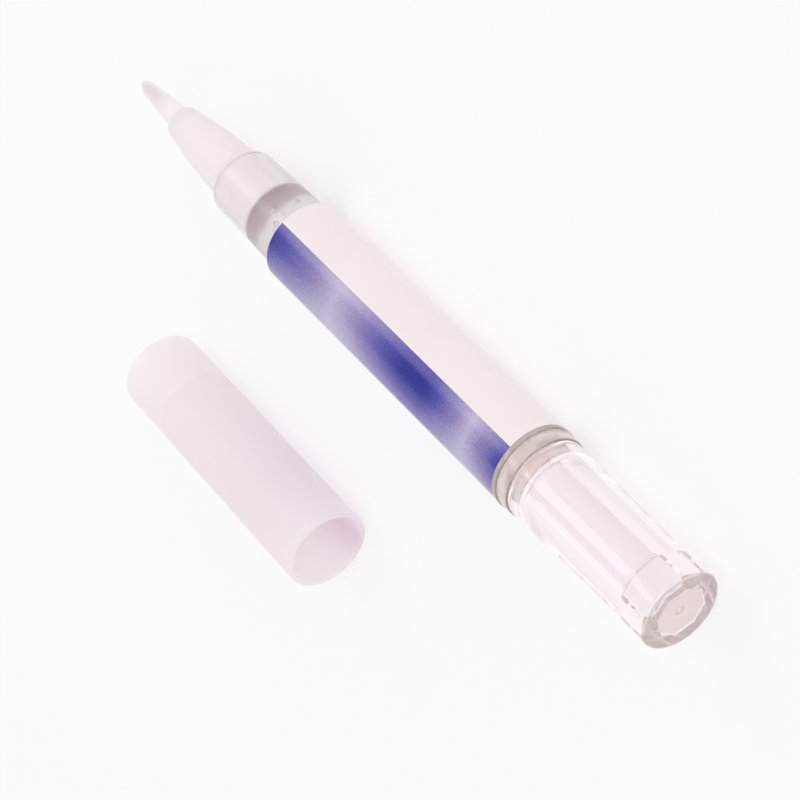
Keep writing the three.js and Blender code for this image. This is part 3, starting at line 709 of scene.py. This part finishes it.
cone = smooth_line([
    Vector((NECK_FRONT, NOZZLE_BASE_R)),
    Vector((NECK_FRONT + NOZZLE_LENGTH * NOZZLE_MIDDLE_SHARE, NOZZLE_MIDDLE_R)),
    Vector((NOZZLE_SHOULDER, NOZZLE_SHOULDER_R)),
    Vector((NOZZLE_FRONT, NOZZLE_FRONT_R)),
], CONE_STEPS)
nozzle = turned([
    (PLUG_REAR, PLUG_BORE_R, SOFT_EDGE),
    (PLUG_REAR, PLUG_R, PLUG_LEAD_ROUND),
    (NECK_FRONT, PLUG_R),
    *[tuple(point) for point in cone[:-1]],
    (NOZZLE_FRONT, NOZZLE_FRONT_R, SOFT_EDGE),
    (NOZZLE_FRONT, SEAT_R),
    (SEAT_REAR, SEAT_R),
    (SEAT_REAR, CHANNEL_R),
    (FUNNEL_FRONT, CHANNEL_R, FUNNEL_ROUND),
    (FUNNEL_REAR, PLUG_BORE_R, FUNNEL_ROUND),
])

# Frosted polypropylene: the mould was blasted, so the milky plastic has a fine matt skin that
# scatters light and lets some of it through.
FROST_MILK = "#f8e7ec"
FROST_PALE_MILK = "#fbedf1"
FROST_CLOUD = 5
FROST_MATT = (0.42, 0.55)
FROST_SINK_SHARE = 1.0
FROST_SINK = 0.6
BLAST_GRIT = 0.12
BLAST_SHARE = 0.12
BLAST_DEPTH = 0.01

frosted, tree = blank_material("frosted_polypropylene")
place = node(tree, "ShaderNodeTexCoord").outputs["Object"]
cloud = node(tree, "ShaderNodeTexNoise", {
    "Vector": place,
    "Scale": 1 / (FROST_CLOUD * MM),
    "Detail": CLOUD_DETAIL,
}).outputs["Fac"]
milk = node(tree, "ShaderNodeMixRGB", {
    "Fac": cloud,
    "Color1": linear(FROST_MILK),
    "Color2": linear(FROST_PALE_MILK),
})
matt = node(tree, "ShaderNodeMapRange", {"Value": cloud, "To Min": FROST_MATT[0], "To Max": FROST_MATT[1]})
blast = node(tree, "ShaderNodeTexNoise", {
    "Vector": place,
    "Scale": 1 / (BLAST_GRIT * MM),
    "Detail": FINE_DETAIL,
})
grain = node(tree, "ShaderNodeBump", {
    "Height": blast.outputs["Fac"],
    "Strength": BLAST_SHARE,
    "Distance": BLAST_DEPTH * MM,
})
surface = node(tree, "ShaderNodeBsdfPrincipled", {
    "Base Color": milk.outputs["Color"],
    "Roughness": matt.outputs["Result"],
    "IOR": POLYPROPYLENE_IOR,
    "Subsurface Weight": FROST_SINK_SHARE,
    "Subsurface Radius": EVEN_GLOW,
    "Subsurface Scale": FROST_SINK * MM,
    "Normal": grain.outputs["Normal"],
})
node(tree, "ShaderNodeOutputMaterial", {"Surface": surface.outputs["BSDF"]})

shown(nozzle, "frosted_nozzle", frosted, "barrel", "nozzle_frosted", "nozzle")

# The gel fills the neck and the nozzle's plug as far back as the piston ever comes, and reaches a hair
# into their walls, as it wets them. A few air bubbles are left in it from filling, most of them small.
GEL_REAR = 62.3
GEL_WETS = 0.02
BUBBLE_COUNT = 16
BUBBLE_SMALLEST = 0.14
BUBBLE_GROWTH = 0.26
BUBBLE_SMALL_SHARE = 3
BUBBLE_ROUNDNESS = 2
BUBBLE_FIRST = 66.2
BUBBLE_SPREAD = 4.4
BUBBLE_OUT = 2.95
BUBBLE_SIDE = math.radians(80)
BUBBLE_SWEEP = math.radians(110)
GOLDEN_SHARE = 0.618

gel = turned([
    (GEL_REAR, 0),
    (GEL_REAR, BARREL_BORE_R + GEL_WETS, BROAD_EDGE),
    (SHOULDER_REAR, BARREL_BORE_R + GEL_WETS),
    (SHOULDER_FRONT, NECK_BORE_R + GEL_WETS),
    (PLUG_REAR + GEL_WETS, NECK_BORE_R + GEL_WETS),
    (PLUG_REAR + GEL_WETS, PLUG_BORE_R + GEL_WETS),
    (FUNNEL_REAR, PLUG_BORE_R + GEL_WETS),
    (FUNNEL_FRONT + GEL_WETS, CHANNEL_R),
    (FUNNEL_FRONT + GEL_WETS, 0),
], closed=False)
gel_skin = set(gel.faces)
for index in range(BUBBLE_COUNT):
    share = index * GOLDEN_SHARE % 1
    turn = BUBBLE_SIDE + BUBBLE_SWEEP * (share * BUBBLE_COUNT * GOLDEN_SHARE % 1)
    size = BUBBLE_SMALLEST + BUBBLE_GROWTH * share ** BUBBLE_SMALL_SHARE
    x = BUBBLE_FIRST + BUBBLE_SPREAD * index / BUBBLE_COUNT
    spot = PEN_END + Vector((x, BUBBLE_OUT * math.cos(turn), BUBBLE_OUT * math.sin(turn))) * MM
    bmesh.ops.create_icosphere(gel, subdivisions=BUBBLE_ROUNDNESS, radius=size * MM,
                               matrix=Matrix.Translation(spot))
bmesh.ops.reverse_faces(gel, faces=[face for face in gel.faces if face not in gel_skin])

# Clear water-based gel: wet against the plastic, so it shows no skin of its own, and faintly grey.
GEL_IOR = 1.38
GEL_BODY = "#ffffff"
GEL_HAZE = 0.0
GEL_TINT = "#dccfc6"
GEL_DENSITY = 8

clear_gel, tree = blank_material("clear_gel")
surface = node(tree, "ShaderNodeBsdfPrincipled", {
    "Base Color": linear(GEL_BODY),
    "Roughness": GEL_HAZE,
    "IOR": GEL_IOR,
    "Transmission Weight": FULLY_CLEAR,
})
depth = node(tree, "ShaderNodeVolumeAbsorption", {"Color": linear(GEL_TINT), "Density": GEL_DENSITY})
node(tree, "ShaderNodeOutputMaterial", {
    "Surface": surface.outputs["BSDF"],
    "Volume": depth.outputs["Volume"],
})

shown(gel, "gel", clear_gel, "barrel", "barrel_clear")

# The ferrule is a thin white sleeve that grips the brush's root, and the feed tube is a thin pipe that
# carries gel through the nozzle into the middle of the tuft. Both are moulded in the core's plastic.
ferrule_low, ferrule_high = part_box("brush_ferrule")
tube_low, tube_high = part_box("feed_tube")
FERRULE_R = (ferrule_high.y - ferrule_low.y) / 2 / MM
FERRULE_BORE_R = 1.68
TUBE_R = 0.45
TUBE_BORE_R = 0.28
TUBE_FRONT = station(tube_high.x)
SLEEVE_EDGE = 0.03


def sleeve(low, high, radius, bore):
    """A plain thin tube with softened ends, between two places along the pen."""
    return turned([
        (station(low.x), bore, SLEEVE_EDGE),
        (station(low.x), radius, SLEEVE_EDGE),
        (station(high.x), radius, SLEEVE_EDGE),
        (station(high.x), bore, SLEEVE_EDGE),
    ])


ferrule = sleeve(ferrule_low, ferrule_high, FERRULE_R, FERRULE_BORE_R)
shown(ferrule, "white_ferrule", milky, "barrel", "ferrule_white", "brush_ferrule")
feed_tube = sleeve(tube_low, tube_high, TUBE_R, TUBE_BORE_R)
shown(feed_tube, "white_feed_tube", milky, "barrel", "works_white", "feed_tube")

# The brush is a tuft of nylon filament, welded together at its root in the ferrule, drawn in
# towards its tip and cut there to a blunt crown.
tuft_low, tuft_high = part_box("bristles")
BRUSH_TIP = station(tuft_high.x)
ROOT_REAR = station(tuft_low.x)
ROOT_FRONT = 92.15
ROOT_R = 1.63
ROOT_GRIP = 0.1
TUBE_PLAY = 0.05
FILAMENT_R = 0.05
FILAMENT_PITCH = 0.105
FILAMENT_POINTS = 5
TUFT_RINGS = 11
TUFT_CLOSING = 0.57
TUFT_CROWN = 1.1
TUFT_CROWN_ROUND = 0.5
TUFT_RAGGED = 0.25
TUFT_HEART = 0.9

tuft_curve = bpy.data.curves.new("tuft", "CURVE")
tuft_curve.dimensions = "3D"
tuft_curve.bevel_depth = FILAMENT_R * MM
tuft_curve.bevel_resolution = 0
tuft_curve.use_fill_caps = True
count_so_far = 0
for ring in range(TUFT_RINGS):
    ring_share = ring / (TUFT_RINGS - 1)
    ring_r = TUBE_R + FILAMENT_R * 2 + (ROOT_R - TUBE_R - FILAMENT_R * 4) * ring_share
    count = int(math.tau * ring_r / FILAMENT_PITCH)
    for index in range(count):
        turn = math.tau * (index + ring / 2) / count
        ragged = TUFT_RAGGED * (count_so_far * GOLDEN_SHARE % 1)
        tip = BRUSH_TIP - TUFT_CROWN * ring_share ** 2 - ragged
        count_so_far += 1
        strand = tuft_curve.splines.new("POLY")
        strand.points.add(FILAMENT_POINTS - 1)
        for step, point in enumerate(strand.points):
            share = step / (FILAMENT_POINTS - 1)
            x = ROOT_FRONT - ROOT_GRIP + (tip - ROOT_FRONT + ROOT_GRIP) * share
            drawn_in = 1 - TUFT_CLOSING * max(0, x - ROOT_FRONT) / (BRUSH_TIP - ROOT_FRONT)
            radius = ring_r * drawn_in
            spot = PEN_END + Vector((x, radius * math.cos(turn), radius * math.sin(turn))) * MM
            point.co = (*spot, 1)
            point.radius = drawn_in
tuft_object = bpy.data.objects.new("tuft", tuft_curve)
scene.collection.objects.link(tuft_object)
tuft_made = tuft_object.evaluated_get(bpy.context.evaluated_depsgraph_get())
tuft_data = bpy.data.meshes.new_from_object(tuft_made)
bpy.data.objects.remove(tuft_object)
tuft = turned([
    (TUBE_FRONT + TUBE_PLAY, 0),
    (TUBE_FRONT + TUBE_PLAY, TUBE_R + TUBE_PLAY),
    (ROOT_REAR, TUBE_R + TUBE_PLAY),
    (ROOT_REAR, ROOT_R, SOFT_EDGE),
    (ROOT_FRONT, ROOT_R, SOFT_EDGE),
    (BRUSH_TIP - TUFT_CROWN, ROOT_R * (1 - TUFT_CLOSING) * TUFT_HEART, TUFT_CROWN_ROUND),
    (BRUSH_TIP - TUFT_CROWN / 2, 0),
], closed=False)
tuft.from_mesh(tuft_data)

# Nylon filament: pale strands with a silky sheen, each a shade apart from the next.
NYLON_IOR = 1.53
NYLON_SHADE = "#f5ebec"
NYLON_PALE_SHADE = "#faf3f4"
NYLON_SILK = (0.35, 0.55)
STREAK_WIDTH = 0.12
STREAK_STRETCH = 0.05

nylon, tree = blank_material("nylon_filament")
place = node(tree, "ShaderNodeTexCoord").outputs["Object"]
drawn = node(tree, "ShaderNodeMapping", {"Vector": place, "Scale": (STREAK_STRETCH, 1, 1)})
streak = node(tree, "ShaderNodeTexNoise", {
    "Vector": drawn.outputs["Vector"],
    "Scale": 1 / (STREAK_WIDTH * MM),
    "Detail": FINE_DETAIL,
}).outputs["Fac"]
shade = node(tree, "ShaderNodeMixRGB", {
    "Fac": streak,
    "Color1": linear(NYLON_SHADE),
    "Color2": linear(NYLON_PALE_SHADE),
})
silk = node(tree, "ShaderNodeMapRange", {"Value": streak, "To Min": NYLON_SILK[0], "To Max": NYLON_SILK[1]})
surface = node(tree, "ShaderNodeBsdfPrincipled", {
    "Base Color": shade.outputs["Color"],
    "Roughness": silk.outputs["Result"],
    "IOR": NYLON_IOR,
})
node(tree, "ShaderNodeOutputMaterial", {"Surface": surface.outputs["BSDF"]})

shown(tuft, "nylon_brush", nylon, "barrel", "bristle_nylon", "bristles")

# The works are white acetal mouldings hidden in the barrel: the ratchet ring and the nut are fixed in
# the collar, the pawl ring sits on the core's stub, and the screw pushes the piston.
WORKS = ("ratchet_ring", "pawl_ring", "drive_nut", "screw_rod", "piston")

# White acetal: dense and slippery, with an even, slightly waxy gloss.
ACETAL_IOR = 1.48
ACETAL_SHADE = "#ece8e6"
ACETAL_PALE_SHADE = "#f7f4f2"
ACETAL_CLOUD = 2
ACETAL_GLOSS = (0.28, 0.4)
ACETAL_GRAIN_SHARE = 0.1
ACETAL_GRAIN_HEIGHT = 0.02

acetal, tree = blank_material("white_acetal")
place = node(tree, "ShaderNodeTexCoord").outputs["Object"]
cloud = node(tree, "ShaderNodeTexNoise", {
    "Vector": place,
    "Scale": 1 / (ACETAL_CLOUD * MM),
    "Detail": CLOUD_DETAIL,
}).outputs["Fac"]
shade = node(tree, "ShaderNodeMixRGB", {
    "Fac": cloud,
    "Color1": linear(ACETAL_SHADE),
    "Color2": linear(ACETAL_PALE_SHADE),
})
gloss = node(tree, "ShaderNodeMapRange", {
    "Value": cloud,
    "To Min": ACETAL_GLOSS[0],
    "To Max": ACETAL_GLOSS[1],
})
grain = node(tree, "ShaderNodeBump", {
    "Height": cloud,
    "Strength": ACETAL_GRAIN_SHARE,
    "Distance": ACETAL_GRAIN_HEIGHT * MM,
})
surface = node(tree, "ShaderNodeBsdfPrincipled", {
    "Base Color": shade.outputs["Color"],
    "Roughness": gloss.outputs["Result"],
    "IOR": ACETAL_IOR,
    "Normal": grain.outputs["Normal"],
})
node(tree, "ShaderNodeOutputMaterial", {"Surface": surface.outputs["BSDF"]})

for name in WORKS:
    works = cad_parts[name]
    works.data.materials.clear()
    works.data.materials.append(acetal)

# The cap is a frosted polypropylene tube with one closed end. A tapered seat at its mouth grips the
# pen's neck, and the deeper bore clears the nozzle and the brush.
cap_low, cap_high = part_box("cap_shell")
CAP_MOUTH = Vector((cap_low.x, (cap_low.y + cap_high.y) / 2, (cap_low.z + cap_high.z) / 2))
CAP_LENGTH = (cap_high.x - cap_low.x) / MM
CAP_R = (cap_high.y - cap_low.y) / 2 / MM
CAP_DRAFT = 0.05
CAP_END_WALL = 0.9
CAP_END_ROUND = 0.5
CAP_DEPTH = CAP_LENGTH - CAP_END_WALL
CAP_FLOOR_ROUND = 0.4
CAP_PLAY = 0.08
CAP_SEAT_REAR_R = NECK_REAR_R + CAP_PLAY
CAP_SEAT_FRONT_R = NECK_FRONT_R + CAP_PLAY
CAP_SEAT_LENGTH = NECK_FRONT - BODY_FRONT
CAP_STEP_LENGTH = 0.6
CAP_STEP_R = 3.75
CAP_DEEP_R = 2.8

cap = turned([
    (CAP_DEPTH, 0),
    (CAP_DEPTH, CAP_DEEP_R, CAP_FLOOR_ROUND),
    (CAP_SEAT_LENGTH + CAP_STEP_LENGTH, CAP_STEP_R, BROAD_EDGE),
    (CAP_SEAT_LENGTH, CAP_SEAT_FRONT_R, SOFT_EDGE),
    (0, CAP_SEAT_REAR_R, BROAD_EDGE),
    (0, CAP_R, BROAD_EDGE),
    (CAP_LENGTH, CAP_R - CAP_DRAFT, CAP_END_ROUND),
    (CAP_LENGTH, 0),
], end=CAP_MOUTH, closed=False)

# Cloudy polypropylene, a thinner and clearer grade than the nozzle's: like wax paper, so that light from
# outside comes through to the bore.
# Painted shade: the wall round the hollow is coloured a shade deeper than the solid end. Painted light: the
# bore is coloured whiter than the outside, so that the inside looks lit through.
CAP_HOLLOW = 28.0
CAP_HOLLOW_FADE = 0.4
CAP_SKIN = 0.5
# Painted shade: the wall round the hollow is coloured deeper than the solid end.
CAP_HOLLOW_PAINTED_SHADE = "#f4e8ef"
CAP_HOLLOW_PALE_PAINTED_SHADE = "#f7edf3"
CAP_SOLID_MILK = "#faf3f7"
# Painted light: the bore's colour, whiter than the outside, so that the inside looks lit.
CAP_BORE_PAINTED_LIGHT = "#fffdfe"
CAP_CLOUD = 5
CAP_MATT = (0.36, 0.46)
CAP_SINK_SHARE = 1.0
CAP_SINK = 5
CAP_SHEEN = 0.4
CAP_SHEEN_SPREAD = 0.4
CAP_LIGHT = "#fffcfe"
CAP_LIGHT_SHARE = 0.35

paper, tree = blank_material("cloudy_polypropylene")
place = node(tree, "ShaderNodeTexCoord").outputs["Object"]
from_mouth = counted_from(tree, CAP_MOUTH)
across = node(tree, "ShaderNodeMapping", {"Vector": from_mouth, "Scale": (0, 1, 1)}).outputs["Vector"]
from_axis = node(tree, "ShaderNodeVectorMath", {0: across}, operation="LENGTH").outputs["Value"]
along = node(tree, "ShaderNodeSeparateXYZ", {"Vector": from_mouth}).outputs["X"]
cloud = node(tree, "ShaderNodeTexNoise", {
    "Vector": place,
    "Scale": 1 / (CAP_CLOUD * MM),
    "Detail": CLOUD_DETAIL,
}).outputs["Fac"]
# Painted shade round the hollow, which gives way to the solid end's colour at the hollow's end.
hollow_painted_shade = node(tree, "ShaderNodeMixRGB", {
    "Fac": cloud,
    "Color1": linear(CAP_HOLLOW_PAINTED_SHADE),
    "Color2": linear(CAP_HOLLOW_PALE_PAINTED_SHADE),
})
painted_shade_to_solid_end = node(tree, "ShaderNodeMapRange", {
    "Value": along,
    "From Min": (CAP_HOLLOW - CAP_HOLLOW_FADE) * MM,
    "From Max": (CAP_HOLLOW + CAP_HOLLOW_FADE) * MM,
}, interpolation_type="SMOOTHSTEP")
wall_with_painted_shade = node(tree, "ShaderNodeMixRGB", {
    "Fac": painted_shade_to_solid_end.outputs["Result"],
    "Color1": hollow_painted_shade.outputs["Color"],
    "Color2": linear(CAP_SOLID_MILK),
})
# Painted light: everything under the outer skin, which is the bore, takes the whiter colour.
in_skin = node(tree, "ShaderNodeMapRange", {
    "Value": from_axis,
    "From Min": (CAP_R - CAP_SKIN) * MM,
    "From Max": (CAP_R - CAP_SKIN / 2) * MM,
})
milk = node(tree, "ShaderNodeMixRGB", {
    "Fac": in_skin.outputs["Result"],
    "Color1": linear(CAP_BORE_PAINTED_LIGHT),
    "Color2": wall_with_painted_shade.outputs["Color"],
})
matt = node(tree, "ShaderNodeMapRange", {"Value": cloud, "To Min": CAP_MATT[0], "To Max": CAP_MATT[1]})
blast = node(tree, "ShaderNodeTexNoise", {
    "Vector": place,
    "Scale": 1 / (BLAST_GRIT * MM),
    "Detail": FINE_DETAIL,
})
grain = node(tree, "ShaderNodeBump", {
    "Height": blast.outputs["Fac"],
    "Strength": BLAST_SHARE,
    "Distance": BLAST_DEPTH * MM,
})
surface = node(tree, "ShaderNodeBsdfPrincipled", {
    "Base Color": milk.outputs["Color"],
    "Roughness": matt.outputs["Result"],
    "IOR": POLYPROPYLENE_IOR,
    "Subsurface Weight": CAP_SINK_SHARE,
    "Subsurface Radius": EVEN_GLOW,
    "Subsurface Scale": CAP_SINK * MM,
    "Sheen Weight": CAP_SHEEN,
    "Sheen Roughness": CAP_SHEEN_SPREAD,
    "Normal": grain.outputs["Normal"],
})
through = node(tree, "ShaderNodeBsdfTranslucent", {"Color": linear(CAP_LIGHT)})
wall = node(tree, "ShaderNodeMixShader", {
    0: CAP_LIGHT_SHARE,
    1: surface.outputs["BSDF"],
    2: through.outputs["BSDF"],
})
node(tree, "ShaderNodeOutputMaterial", {"Surface": wall.outputs["Shader"]})

shown(cap, "frosted_cap", paper, "cap", "cap_frosted", "cap_shell")
